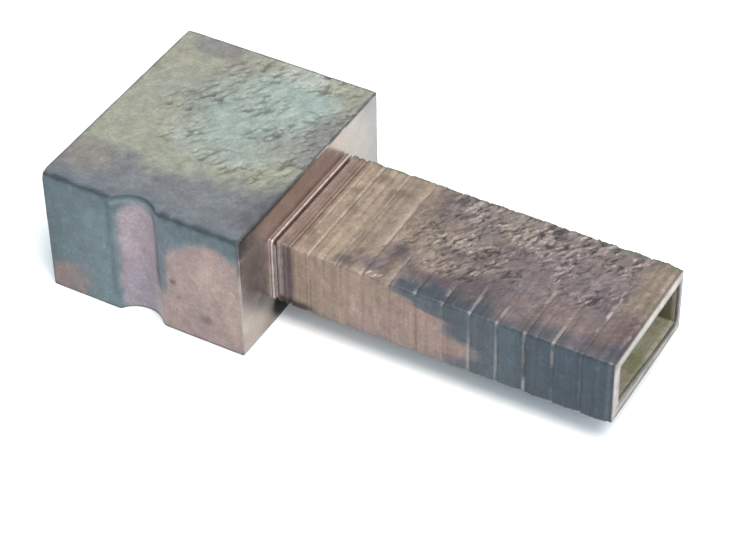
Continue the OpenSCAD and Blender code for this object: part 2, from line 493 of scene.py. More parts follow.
def block_piece(material, bright):
    """The worn block, with the bright material on the side that the sleeve stands out of."""
    points, faces, out, outer = block_mesh()
    top = np.clip(out[:, 2], 0, 1) ** 2
    side = np.clip(out[:, 0], 0, 1) ** 4
    p = points

    # Torn pits on the top, fine unevenness elsewhere. Everything goes inwards, and the bright side stays flat
    zone = torn_zone(p) * top
    height = torn(p, BLOCK_FLAKE, 11)
    slope = (torn(p + np.array([SLOPE_STEP, 0, 0]), BLOCK_FLAKE, 11) - height) / SLOPE_STEP
    aslant = leaning(p)
    pitted = zone + 0.12 * top + 0.07 * (1 - top)
    holes = ramp(0.61, 0.73, rough_noise(aslant, (0.5, 1.0, 1.2), 29, 3)) * pitted
    fine_pits = ramp(0.62, 0.74, rough_noise(aslant, (0.3, 0.6, 0.6), 31, 2))
    holes = np.maximum(holes, 0.6 * fine_pits * (0.25 + 0.75 * zone) * top)
    away = np.clip(1 - (1 - np.abs(out).max(1)) * 4, 0, 1)
    depth = 0.07 * (1 - height) * (0.15 + 0.85 * zone) + 0.22 * holes + 0.03 * rough_noise(p, 3.5, 23, 3)
    inward = depth * (1 - side) * (0.35 + 0.65 * away)
    points = p - out * inward[:, None]

    # The half-round groove, pressed into the front
    depth = groove_depth_at(points[:, 0])
    soft = 0.1 + 0.25 * ramp(0, 2, points[:, 0] - GROOVE_X)
    depth = (depth + np.sqrt(depth**2 + soft**2)) / 2
    fade = ramp(BLOCK_LOW[1] + 5, BLOCK_LOW[1], points[:, 1])
    points[:, 1] += np.where(outer, depth * fade, 0)

    # Colour only: lighter crests, darker hollows, and painted light and shade from the slope, lighter where a
    # flake faces +X towards the key light
    relief = (0.55 * (height - 0.5) - 0.1 * slope) * (0.4 + 0.6 * zone) * (1 - side)
    colours = block_colours(p, out, holes, relief)
    wear = 1 - np.max(np.abs(out), axis=1)
    bare = ramp(0.12, 0.28, wear) * ramp(0.6, 0.72, rough_noise(p, 1.1, 41, 3)) * 0.45 * (1 - top)
    bare *= ramp(0.3, 0.1, out[:, 0]) * ramp(BLOCK_HIGH[2] - 0.6, BLOCK_HIGH[2] - 1.4, p[:, 2])
    piece = make_piece("block_worn", "block", points, faces, material, colours, bare)
    piece.data.materials.append(bright)
    centre = points[faces].mean(1)
    normal_x = out[faces][:, :, 0].min(1)
    is_bright = (normal_x > 0.9) & (centre[:, 0] > FACE_X - 0.3)
    piece.data.polygons.foreach_set("material_index", is_bright.astype(np.int32))
    return piece


def block_colours(p, out, holes, relief):
    """Stain colours of the block, from large patches to pits and edges, with painted light, shade and
    reflections among them.
    """
    x, y, z = p.T
    wobble = rough_noise(p, 3.2, 51, 4) - 0.5
    small = rough_noise(p, 1.0, 57, 3) - 0.5
    top = ramp(0.4, 0.8, out[:, 2])
    paint = Paint(len(p), (110, 125, 131))
    over = paint.over

    def patch(colour, centre, radii, soft=0.5, amount=1.0, where=top, shake=1.0):
        over(colour, amount * where * ramp(-0.08, soft, spot(p, centre, radii) + shake * wobble))

    # Top: olive beige, then grey green, with a violet-grey band along the front
    over((176, 175, 158), top)
    patch((176, 180, 169), (2.0, 3.5, 16), (10.5, 10.0, 9), 0.4)
    patch((178, 190, 181), (5.0, 8.5, 16), (6.5, 5.5, 9), 0.6)
    patch((176, 187, 177), (1.5, 2.5, 16), (5.0, 7.5, 9), 0.6)
    patch((196, 199, 189), (4.5, 13.6, 16), (5.5, 2.0, 5), 0.5)
    patch((180, 190, 181), (5.5, 4.5, 16), (3.0, 3.0, 5), 0.6, 0.6)
    patch((178, 174, 154), (-11.6, 10.5, 16), (3.0, 3.6, 5), 0.6, 0.8)
    patch((152, 147, 144), (-7.6, 13.6, 16), (3.4, 2.3, 5), 0.5, 0.9)
    patch((158, 152, 146), (-4.0, 12.8, 16), (3.2, 2.2, 5), 0.5, 0.6)
    patch((156, 155, 150), (11.8, 3.5, 16), (2.9, 7.8, 5), 0.5, 0.95)
    patch((138, 138, 134), (12.2, -4.8, 16), (2.8, 2.4, 5), 0.5, 0.8)
    patch((150, 151, 145), (7.5, 2.0, 16), (2.6, 3.0, 5), 0.6, 0.5)
    patch((154, 158, 149), (-4.2, 4.0, 16), (2.0, 5.0, 5), 0.6, 0.6)
    front_line = y + 4.0 * wobble + 1.2 * small - 1.3 * ramp(-2, 9, x) + 1.4
    over((170, 172, 152), top * 0.35 * ramp(0, 1, 1 - np.abs(front_line + 4.6) / 1.9))
    over((140, 141, 143), top * ramp(-5.0, -8.4, front_line))
    patch((158, 150, 142), (-10.0, -9.2, 16), (5.4, 3.2, 5), 0.6, 0.9)
    patch((120, 118, 123), (12.2, -9.6, 16), (3.8, 5.0, 5), 0.6, 0.95)
    over((130, 135, 140), top * ramp(-12.2, -14.2, y + 1.4 * wobble) * 0.85)

    # Front: dull teal with copper patches and a lilac groove, with painted shade and painted highlights in the
    # groove
    front = ramp(-0.5, -0.85, out[:, 1])
    side = ramp(0.5, 0.85, out[:, 0])
    over((108, 122, 127), front * ramp(11.5, 14.8, z + 2 * wobble))
    over((120, 135, 141), front * ramp(-9.5, -6.0, x + 3 * wobble) * ramp(14.5, 12.5, z))
    over((100, 114, 119), front * 0.8 * ramp(-9.6, -11.8, x + wobble))
    copper = np.max([
        spot(p, (8.6, -15, 5.2), (6.2, 9, 8.8)), spot(p, (4.6, -15, 3.6), (2.7, 9, 8.4)),
        spot(p, (11.2, -15, 3.0), (5.5, 9, 10.0)),
    ], axis=0)
    over((171, 151, 146), front * ramp(-0.05, 0.1, copper + 0.18 * wobble))
    patch((188, 165, 156), (8.8, -15, 9.6), (3.6, 9, 4.0), 0.8, 0.9, front * ramp(0.0, 0.1, copper))
    patch((182, 160, 149), (11.4, -15, 6.0), (1.9, 9, 6.0), 0.5, 0.8, front * ramp(0.0, 0.1, copper))
    patch((158, 141, 139), (7.0, -15, 2.6), (2.2, 9, 2.0), 0.7, 0.6, front)
    patch((150, 128, 122), (-10.4, -15, 1.5), (3.0, 9, 3.1), 0.35, 0.85, front, 0.4)
    patch((134, 132, 134), (-8.6, -15, 2.6), (3.0, 9, 2.6), 0.8, 0.6, front)
    in_groove = ramp(-3.6, -2.7, x + 0.5 * wobble) * front
    below_top = ramp(15.7, 14.5, z + 0.2 * (x + 0.75) ** 2 + 0.8 * small)
    over((177, 162, 168), in_groove * ramp(2.4, 1.4, x) * below_top)
    over((156, 152, 162), in_groove * 0.7 * ramp(0.9, -0.6, x) * ramp(8, 4, z + 3 * wobble))
    over((162, 150, 157), in_groove * 0.6 * ramp(2.2, 0.6, x) * ramp(10, 4, z) * ramp(-0.1, 0.1, small))
    # Painted shade on the groove's right-hand wall, over a darker stain there
    over((118, 124, 131), in_groove * ramp(0.9, 1.6, x) * ramp(3.4, 2.8, x) * ramp(4.0, 6.4, z) * 0.9)
    # Painted reflection of the floor: a pale streak low on the groove's right side
    over((196, 182, 178), in_groove * ramp(0.2, 0.9, x) * ramp(2.4, 1.6, x) * ramp(5.4, 4.0, z) * 0.8)
    for colour, amount, soft, centre, radii, shake in (
        ((92, 86, 90), 1.0, 0.5, (1.5, -14.0, 7.2), (0.8, 3, 0.5), 0.5),
        ((118, 104, 102), 0.9, 0.6, (3.8, -15, 7.1), (0.6, 1, 0.6), 0.5),
        ((122, 110, 110), 0.8, 0.7, (7.9, -15, 3.3), (1.4, 1, 1.0), 0.6),
        ((128, 114, 112), 0.7, 0.7, (4.4, -15, 5.2), (0.4, 1, 0.4), 0.6),
    ):
        over(colour, front * amount * ramp(0.1, soft, spot(p, centre, radii) + shake * small))
    over((98, 110, 118), front * 0.6 * ramp(0.6, 0.1, np.abs(x + 4.0 + 0.5 * wobble)) * ramp(1, 4, z))
    from_groove = np.abs(x - GROOVE_X)
    # Painted highlight: a thin light line along the groove's top lip
    over((150, 162, 170), front * 0.6 * ramp(0.5, 0.1, np.abs(z - 15.2)) * ramp(3.2, 2.6, from_groove))
    brow = ramp(0.9, 0.1, np.hypot(y - BLOCK_LOW[1], z - BLOCK_HIGH[2]) + 0.5 * small)
    over((74, 86, 96), 0.75 * brow * (1 - side) * ramp(2.9, 3.6, from_groove))
    over((96, 96, 98), front * ramp(0.45, 0.0, z) * 0.5)

    # The bright side: cream and duller towards the front edge, with painted reflections of the sleeve and
    # painted shadow and reflection of the shaded floor low down and under the sleeve's root
    over((190, 183, 175), side)
    over((172, 170, 170), side * 0.8 * ramp(10.5, 14.0, y + 2 * wobble))
    over((156, 154, 154), side * 0.7 * ramp(13.0, 15.4, z) * ramp(9.5, 13.0, y))
    # Painted reflection of the sleeve: a reddish patch round its root
    patch((208, 186, 176), (12.5, -2.5, 12.0), (3, 12.0, 9.0), 0.5, 1.0, side, 0.3)
    over((118, 116, 122), side * ramp(0.0, 0.9, spot(p, (12.5, -14.6, 15.6), (3, 5.5, 7)) + 0.5 * wobble))
    # Painted reflection of the sleeve's near side: a duller patch beside it
    sleeve_reflection = spot(p, (12.5, -12.0, 8.6), (3, 4.6, 6.4))
    over((150, 138, 138), side * 0.6 * ramp(0.0, 0.5, sleeve_reflection + 0.4 * wobble))
    over((196, 182, 172), side * 0.8 * ramp(-0.1, 0.3, small + 0.5 * wobble) * ramp(-6, -8, y))
    # Painted reflection of the sleeve's near side and of the shadow under it, darker low down towards the front
    over((156, 146, 138), side * 0.55 * ramp(4.2, 1.6, z + wobble) * ramp(-7.0, -9.5, y))
    low_front_reflection = side * 0.5 * ramp(2.6, 0.6, z + wobble)
    over((120, 112, 108), low_front_reflection * ramp(-12.0, -9.5, y) * ramp(-6.0, -7.5, y))
    # Painted shadow and reflection of the shaded floor, dark under the sleeve's root
    root_shadow_spot = spot(p, (12.5, -6.8, 1.9), (3, 3.0, 3.0))
    over((90, 80, 80), side * 0.8 * ramp(0.0, 0.8, root_shadow_spot + 0.4 * wobble))
    over((40, 34, 38), side * ramp(0.0, 0.4, spot(p, (12.5, -6.6, 1.9), (3, 2.4, 2.2)) + 0.3 * small))

    # Unseen sides go on in the same colours
    left = ramp(-0.5, -0.85, out[:, 0])
    back = ramp(0.5, 0.85, out[:, 1])
    under = ramp(-0.5, -0.85, out[:, 2])
    over((156, 142, 134), (left + back) * ramp(-0.1, 0.35, wobble + 0.5 * small + 0.05 * (8 - z)))
    over((168, 150, 136), under * ramp(-0.2, 0.3, wobble))

    # Crests and hollows, with painted light and shade from the flakes' slope, pits, and a darker line round the
    # edges, apart from the clean foot of the near one
    paint.scale(np.clip(1 + 0.34 * relief, 0.5, 1.45))
    clean = ramp(1.2, 0.6, np.hypot(FACE_X - x, y - BLOCK_LOW[1]))
    clean = clean * ramp(12.5, 10, z + wobble) * ramp(0.3, 0.9, z)
    edge = ramp(0.03, 0.25, 1 - np.max(np.abs(out), axis=1)) * (np.abs(out).max(1) > 0) * (1 - clean)
    over((88, 94, 98), 0.6 * edge)
    rim = ramp(0.1, 0.3, out[:, 0]) * ramp(0.15, 0.4, out[:, 2])
    rim = np.maximum(rim, side * ramp(15.7, 15.95, z))
    over((78, 88, 97), 0.8 * side * ramp(15.3, 15.75, z) * ramp(3.0, -6.0, y + 2 * wobble))
    over((128, 126, 130), 0.7 * side * ramp(14.5, 14.8, y))
    over((98, 92, 92), 0.75 * rim * ramp(0.72, 0.6, rough_noise(p, 1.6, 61, 2)))
    gap = np.sort(np.minimum(p - BLOCK_LOW, BLOCK_HIGH - p), axis=1)[:, 1]
    line = ramp(0.42, 0.1, gap + 0.3 * small) * (1 - side) * (1 - clean)
    over((84, 86, 90), 0.55 * line)
    paint.scale(1 - 0.45 * np.clip(holes, 0, 1))
    paint.scale(1 + 0.3 * small * (1 - side))
    return paint.colour


# -------------------- sleeve

SLEEVE_RING = ring_template(106, 50, 5)


def liner_outside(template, xs):
    """Loops along the liner's outside, where every ring of the sleeve sits on it."""
    return ring_loops(template, xs, LINER_HALF_Y, LINER_HALF_Z, LINER_CORNER, BORE_CENTRE)[0]


def sleeve_rough(p, out):
    """How far the worn surface stands out or in, where it is torn, the torn flakes' tones with painted light and
    shade, and the crosswise lines.
    """
    s = p[..., 0] - FACE_X
    up = np.clip(out[..., 2], 0, 1)
    wander = rough_noise(p, 4, 71, 2) - 0.5
    field = ramp(9.5, 17, s + 7 * wander) * ramp(-6.2, -3.4, p[..., 1] + 3.5 * wander)
    field = field * (1 - 0.65 * ramp(34.5, 38.5, s + 3 * wander))
    smooth = ramp(-0.2, 0.6, spot(p, (FACE_X + 30, -3.8, 12), (7.5, 3.0, 6)) + 1.2 * wander)
    field = field * (1 - 0.6 * smooth) * up
    height = torn(p, SLEEVE_FLAKE, 73)
    strength = 0.45 + 0.55 * ramp(0.38, 0.6, rough_noise(p, 2.2, 75, 2))
    lines = tool_lines(p) * (1 - 0.8 * field)
    relief = 0.17 * (height - 0.7) * field * strength + 0.03 * (height - 0.5) * (1 - field)
    relief += 0.1 * lines + 0.04 * (rough_noise(p, 2.5, 79, 3) - 0.6)
    slope = np.gradient(height, s[:, 0], axis=0)
    # Lighter crests and darker hollows, with painted light and shade from the slope, lighter where a flake faces
    # +X towards the key light
    flake_tone_and_shading = (2.4 * (height - 0.5) - 0.2 * slope) * (0.12 + 0.88 * field * strength)
    return relief, field, flake_tone_and_shading, lines


def sleeve_colours(p, out, flake_tone_and_shading, lines):
    """Stain colours of the sleeve's outside, with painted light and shade, by the distance from the block and
    round the section.
    """
    s = p[:, 0] - FACE_X
    y, z = p[:, 1], p[:, 2]
    wobble = rough_noise(p, 2.6, 83, 4) - 0.5
    small = rough_noise(p, (0.8, 1.4, 1.0), 89, 3) - 0.5
    top = ramp(0.3, 0.8, out[:, 2])
    near = ramp(-0.3, -0.8, out[:, 1])
    paint = Paint(len(p), (168, 148, 132))
    over = paint.over

    # Top
    over((170, 150, 141), top * ramp(3.1, 2.3, s))
    over((160, 138, 127), top * ramp(1.3, 1.5, s) * ramp(2.3, 2.1, s))
    over((192, 172, 154), top * 0.6 * ramp(2.15, 2.25, s) * ramp(2.5, 2.4, s))
    over((140, 119, 106), top * 0.8 * ramp(2.4, 2.5, s) * ramp(2.8, 2.65, s))
    over((186, 165, 146), top * ramp(2.7, 3.2, s))
    over((178, 157, 141), top * ramp(5.5, 11, s + 4 * wobble) * 0.9)
    spots = ramp(0.2, 0.5, noise(p, (0.9, 1.5, 1.2), 401) - 0.38 - 0.25 * ramp(3, 5, np.abs(s - 6.5)))
    over((132, 114, 102), top * 0.55 * spots)
    purple = ramp(10.5, 17.5, s + 10 * wobble + 2.0 * small)
    over((158, 140, 132), top * purple)
    over((142, 126, 124), top * purple * ramp(18, 23, s + 5 * wobble) * ramp(6.5, 3.5, y + 3 * wobble))
    over((154, 142, 136), top * purple * ramp(5.0, 7.5, y + 3 * wobble) * 0.8)
    clouds = rough_noise(p, (2.6, 2.2, 3), 97, 3) - 0.5
    over((118, 103, 108), top * purple * 0.75 * ramp(0.03, 0.16, clouds))
    over((168, 154, 140), top * purple * 0.6 * ramp(-0.05, -0.18, clouds) * ramp(30, 24, s))
    low_zone = spot(p, (FACE_X + 25.5, -4.6, 12), (7.5, 2.8, 6))
    over((123, 111, 112), top * ramp(0.0, 0.5, low_zone + 0.9 * wobble))
    rust_zone = spot(p, (FACE_X + 32.5, -4.2, 12), (5.5, 2.6, 6))
    over((150, 128, 120), top * 0.8 * ramp(0.0, 0.5, rust_zone + 0.8 * wobble))
    over((160, 143, 128), top * ramp(36.6, 38.6, s + 3 * wobble) * ramp(-3, 1.5, y + 4 * wobble))
    over((136, 117, 113), top * ramp(36.0, 38.0, s) * ramp(0.5, -3.5, y + 4 * wobble))
    dashes = noise(leaning(p), (0.4, 2.2, 2.2), 433) - 0.5
    early = np.max([
        spot(p, (FACE_X + 9.0, -7.4, 12), (2.4, 1.5, 3)), spot(p, (FACE_X + 11.8, -6.6, 12), (3.0, 2.0, 3)),
        spot(p, (FACE_X + 13.2, -3.4, 12), (2.4, 2.2, 3)),
    ], axis=0)
    smudge = ramp(-0.1, 0.8, early + 0.4 * wobble + 0.7 * dashes)
    over((112, 99, 106), np.maximum(top, near) * 0.7 * smudge)
    over((178, 162, 158), top * 0.6 * ramp(0.0, 0.3, dashes - 0.1) * ramp(0.0, 0.3, early))
    edge_y = -6.3 - 0.8 * ramp(18.5, 21.5, s) - hump(s, 29.7, 1.6) + 0.3 * ramp(31, 33, s)
    edge_y += 4.0 * wobble + 1.5 * small
    teal_edge = ramp(1.1, -1.1, y - edge_y) * ramp(12.6, 15.6, s + 4 * wobble)
    over((99, 104, 113), top * teal_edge)
    over((128, 119, 120), top * 0.75 * ramp(-6.6, -7.6, y + wobble) * ramp(26, 29, s + 2 * wobble))
    over((172, 158, 157), top * 0.25 * ramp(24, 27, s) * ramp(38.5, 36.5, s) * ramp(-7.5, -5.5, y))
    lit = spot(p, (FACE_X + 19.5, 4.6, 12), (3.0, 2.6, 3))
    over((172, 160, 156), top * 0.35 * ramp(0.0, 0.5, lit + wobble))
    over((102, 100, 105), top * 0.55 * ramp(38.4, 40.2, s + wobble) * ramp(-2.5, -6.0, y + 2 * wobble))
    over((126, 130, 112), top * 0.5 * ramp(7.7, 8.3, y + wobble))

    # Near side
    over((166, 145, 131), near)
    over((124, 110, 110), near * ramp(3.3, 2.2, s))
    over((164, 151, 150), near * ramp(1.6, 1.3, s))
    over((104, 90, 92), near * ramp(0.9, 0.8, s))
    over((168, 145, 136), near * ramp(8, 13, s + 3 * wobble) * ramp(9.5, 7.5, z))
    orange = spot(p, (FACE_X + 17.5, -8.6, 9.6), (4.5, 3, 1.6))
    over((174, 145, 134), near * 0.7 * ramp(0.0, 0.6, orange + 0.8 * wobble))
    fall = 14.4 + 3.0 * ramp(11.2, 10.4, z) + 3.8 * ramp(10.2, 9.2, z)
    fall = fall + 2.6 * ramp(7.8, 6.6, z) - 2.4 * ramp(5.6, 4.6, z)
    mottle = 3.0 * wobble + 2.4 * small
    over((132, 126, 130), near * ramp(-1.8, 1.0, s - fall + mottle))
    over((99, 106, 112), near * ramp(-0.8, 1.6, s - fall - 1.0 * ramp(9, 7, z) + mottle))
    over((92, 102, 109), near * ramp(25, 29, s))
    over((84, 93, 102), near * ramp(29.5, 34, s))
    over((146, 132, 128), near * 0.6 * ramp(5.2, 3.8, z) * ramp(22, 18, s))

    # Far side and underside, which follow the same run of colours
    far = ramp(0.3, 0.8, out[:, 1])
    under = ramp(-0.3, -0.8, out[:, 2])
    over((146, 132, 124), (far + under) * ramp(6, 14, s + 6 * wobble))
    over((108, 112, 116), (far + under) * ramp(18, 26, s + 8 * wobble))

    # Streaks, painted shadow and shade along the lower edge, painted glints, and crests and hollows with painted
    # light and shade
    streaks = ramp(0.5, 0.75, noise(p * np.array([1.0, 0, 0]), 0.9, 421))
    streaks = streaks * ramp(0.35, 0.6, noise(p, (2, 2, 3), 423))
    over((190, 166, 154), near * 0.6 * streaks * ramp(7, 10, s) * ramp(20, 17, s) * ramp(9.5, 6.5, z))
    # Painted shadow under the sleeve next to the block, and painted shade along the near side's lower edge
    low_edge_shadow = ramp(4.9, 4.0, z) * ramp(-7.2, -8.1, y)
    over((66, 58, 58), 0.9 * low_edge_shadow * ramp(6.4, 4.0, s + 2 * wobble) * ramp(0.7, 1.1, s))
    over((104, 86, 82), near * 0.6 * ramp(3.8, 3.5, z + 0.5 * small))
    over((84, 84, 78), 0.7 * ramp(0.15, 0.5, out[:, 1]) * ramp(0.15, 0.5, out[:, 2]))
    for at, across in ((11.8, -8.0), (12.6, -8.1), (13.1, -7.9)):
        glint = spot(leaning(p, SLANT, across), (FACE_X + at, across, 11.8), (0.14, 0.42, 0.4))
        over((250, 232, 224), ramp(0.05, 0.35, glint))
    paint.scale(1 + 0.9 * lines * (0.6 + 0.4 * top) * (1 - 0.6 * near * ramp(3.0, 2.4, s)))
    coarse = noise(p * np.array([1.0, 0.12, 0]), 1.1, 431) - 0.5
    upright = noise(p * np.array([1.0, 0, 0.12]), 0.9, 437) - 0.5
    paint.scale(1 + 0.3 * upright * near)
    paint.scale(1 + 0.5 * coarse * top * ramp(7, 9, s) * ramp(17, 14, s))
    # Torn crests lighter and hollows darker, partly painted light and shade
    over((204, 190, 182), ramp(0.6, 1.6, flake_tone_and_shading) * top * 0.62)
    over((96, 82, 88), ramp(-0.2, -1.1, flake_tone_and_shading) * top * 0.75)
    corner = ramp(0.05, 0.28, 1 - np.max(np.abs(out), axis=1))
    near_top = ramp(-0.1, -0.4, out[:, 1]) * ramp(0.1, 0.4, out[:, 2])
    paint.scale(1 - (0.08 + 0.27 * ramp(14, 18, s) * (1 - near_top)) * corner)
    paint.scale(np.clip(1 + 0.3 * flake_tone_and_shading, 0.5, 1.6))
    paint.scale(1 + 0.45 * small)
    return paint.colour


def bright_edge(p, out):
    """How bright a collar's worn bevel is: most on the near side three quarters of the way along."""
    s = p[..., 0] - FACE_X
    near = np.clip(-out[..., 1], 0, 1)
    top = np.clip(out[..., 2], 0, 1)
    breaks = ramp(0.3, 0.6, rough_noise(p, (1.0, 3.0, 3.0), 107, 3))
    on_near = 0.04 + 0.34 * hump(s, 30.7) + 0.2 * hump(s, 27.5)
    on_near += 0.2 * hump(s, 24.3) * ramp(10.5, 6.5, p[..., 2]) + 0.16 * hump(s, 34.0)
    on_top = 0.3 + 0.8 * hump(s, 37.0, 1.5) * ramp(8.5, 5.0, np.abs(p[..., 1] + 1))
    return breaks * near * on_near + ramp(0.5, 0.62, rough_noise(p, (1.0, 2.4, 2.0), 113, 3)) * top * on_top


def collar_wear(rows, length, outer, out, field, hidden):
    """A collar's share of bare metal on its bevel, and how much lighter or darker its two ends are, by painted
    highlight and painted shade.
    """
    bevel = ramp(length - BEVEL_LEN - 0.02, length - BEVEL_LEN + 0.06, rows)[:, None]
    bare = bevel * bright_edge(outer, out) * (1 - hidden)
    # Painted highlight at the bevel's end on top, where it catches the light
    pale = ramp(length - 0.7, length - 0.2, rows)[:, None] * np.clip(out[..., 2], 0, 1) * (1 - field)
    pale = pale * ramp(0.4, 0.6, rough_noise(outer, (1, 2.5, 2), 127, 2))
    # Painted shade in the joint at the collar's start, where the step between collars shades it
    joint_shade = ramp(0.22, 0.0, rows)[:, None] * (1 - hidden) * ramp(0.36, 0.56, rough_noise(outer, 1.5, 109, 2))
    return bare, 0.22 * pale - 0.45 * joint_shade


def sleeve_piece(node, material, height, step_rows):
    """One ring of the sleeve. height gives how far its surface stands above the mouth frame's at each row."""
    low, high = cad_box(node)
    length = high[0] - low[0]
    rows = np.array(step_rows(length))
    lift = height(rows, length)
    outer, out = ring_loops(
        SLEEVE_RING, low[0] + rows, MOUTH_HALF_Y + lift, MOUTH_HALF_Z + lift, SLEEVE_CORNER, SLEEVE_CENTRE
    )
    relief, field, flake_tone_and_shading, lines = sleeve_rough(outer, out)
    edge_noise = rough_noise(outer, 0.8, 103, 3) - 0.5
    corner = 1 - np.max(np.abs(out), axis=-1)
    far_top = 2 * np.clip(out[..., 1], 0, 1) * np.clip(out[..., 2], 0, 1)

    # The steps between collars are worn away in the torn zone, and on both sides near the root
    near_root = np.abs(out[..., 1]) * ramp(20, 15, outer[..., 0] - FACE_X)
    hidden = np.maximum(0.9 * field, 0.85 * near_root)
    filled = hidden * (lift.max() - lift)[:, None]
    outer = outer + out * (relief + filled + (0.4 + 0.7 * far_top) * corner * edge_noise)[..., None]
    inner = liner_outside(SLEEVE_RING, np.array([high[0], low[0]]))
    loops = np.concatenate([outer, between(outer[-1], inner[0], 2), inner, between(inner[1], outer[0], 2)])
    extra = len(loops) - len(rows)

    def fill(values):
        """Zeros for the ring's two faces and its bore, after the values for its outside."""
        return np.concatenate([values, np.zeros((extra,) + values.shape[1:])])

    p = loops.reshape(-1, 3)
    every_out = np.concatenate([out, np.broadcast_to(out[:1], (extra,) + out.shape[1:])]).reshape(-1, 3)
    colours = sleeve_colours(p, every_out, fill(flake_tone_and_shading).ravel(), fill(lines).ravel())
    bare = np.zeros(lines.shape)
    if height is collar_height:
        bare, tone = collar_wear(rows, length, outer, out, field, hidden)
        colours *= 1 + fill(tone).ravel()[:, None]
    if node == "root_plate":
        shade = (0.8 + 0.35 * rough_noise(p, 1.2, 109, 3))[:, None]
        in_slot = np.repeat(np.arange(len(loops)) >= len(rows) - 1, loops.shape[1])[:, None]
        shade *= (0.45 + 0.55 * ramp(0.05, 0.14, p[:, 0] - FACE_X))[:, None]
        colours = np.where(in_slot, srgb(168, 140, 128), 0.05 * colours + 0.95 * srgb(244, 228, 222) * shade)
    return make_piece(node + "_worn", node, p, closed_tube(loops), material, colours, fill(bare))


def collar_height(rows, length):
    """Raised at the block's end, sloping down, and then a bevel at the mouth's end."""
    places = [0, 0.05, RAISED_SHARE * length, length - BEVEL_LEN, length]
    heights = COLLAR_RISE - COLLAR_FALL * np.array([0.2, 0, 0, 0.4, 1.0])
    return np.interp(rows, places, heights)


def collar_rows(length):
    """Close rows along a collar, with extra ones at both ends."""
    ends = {0.0, 0.012, 0.05, 0.1, length - BEVEL_LEN, length - BEVEL_LEN + 0.05, length - 0.012, length}
    return stations(sorted(ends), ROW_STEP)


def plate_rows(length):
    """Rows across a thin plate's edge, close together at both corners."""
    return [0.0, 0.04, 0.1, length / 2, length - 0.1, length - 0.04, length]


def plate_height(node):
    """A flat plate's edge, with its two corners broken."""
    low, high = cad_box(node)
    lift = (high[2] - low[2]) / 2 - MOUTH_HALF_Z
    lift = COLLAR_RISE - 0.5 * (COLLAR_RISE - lift)
    return lambda rows, length: lift - 0.04 * ramp(0.05, 0.0, rows) - 0.04 * ramp(length - 0.05, length, rows)


# -------------------- spacer, liner and mouth

def spacer_piece(material):
    """The recessed spacer, flush with the plates on the grooved side only."""
    low, high = cad_box("root_spacer")
    centre_y = (low[1] + high[1]) / 2
    rows = np.linspace(low[0], high[0], 5)
    half_y, half_z = (high[1] - low[1]) / 2, (high[2] - low[2]) / 2
    outer, out = ring_loops(SLEEVE_RING, rows, half_y - 0.02, half_z, 0.1, (centre_y, SLEEVE_Z))
    outer = outer - out * (0.03 * rough_noise(outer, 0.6, 113, 3))[..., None]
    loops = np.concatenate([outer, liner_outside(SLEEVE_RING, rows[[-1, 0]])])
    p = loops.reshape(-1, 3)
    paint = Paint(len(p), (132, 106, 96))
    paint.over((178, 164, 164), ramp(low[1] + 0.35, low[1] + 0.1, p[:, 1]))
    paint.scale(0.85 + 0.3 * rough_noise(p, 0.8, 127, 3))
    return make_piece(
        "root_spacer_worn", "root_spacer", p, closed_tube(loops), material, paint.colour
    )


def liner_piece(material):
    """The thin liner, with drawn lines and a slight waviness inside."""
    template = ring_template(72, 34, 4)
    rows = np.linspace(LINER_LOW[0], LINER_HIGH[0], 97)
    outer = liner_outside(template, rows[[0, -1]])
    inner, out = ring_loops(
        template, rows[::-1], LINER_HALF_Y - LINER_WALL, LINER_HALF_Z - LINER_WALL, 0.25, BORE_CENTRE
    )
    inner = inner + out * (0.05 * (rough_noise(inner, (9, 1.6, 1.6), 131, 3) - 0.5))[..., None]
    loops = np.concatenate([outer, inner])
    p = loops.reshape(-1, 3)
    depth = LINER_HIGH[0] - p[:, 0]
    paint = Paint(len(p), (158, 155, 136))
    # Painted light: paler deeper into the passage, standing in for the light that reaches in
    paint.over((240, 232, 204), ramp(0.5, 4.0, depth))
    paint.over((118, 112, 96), ramp(BORE_Y + 6.9, BORE_Y + 7.1, p[:, 1]))
    paint.over((128, 132, 100), 0.6 * ramp(0.5, 0.7, rough_noise(p, (2.5, 1.8, 1.8), 157, 3)))
    return make_piece("liner_drawn", "liner_tube", p, closed_tube(loops), material, paint.colour)


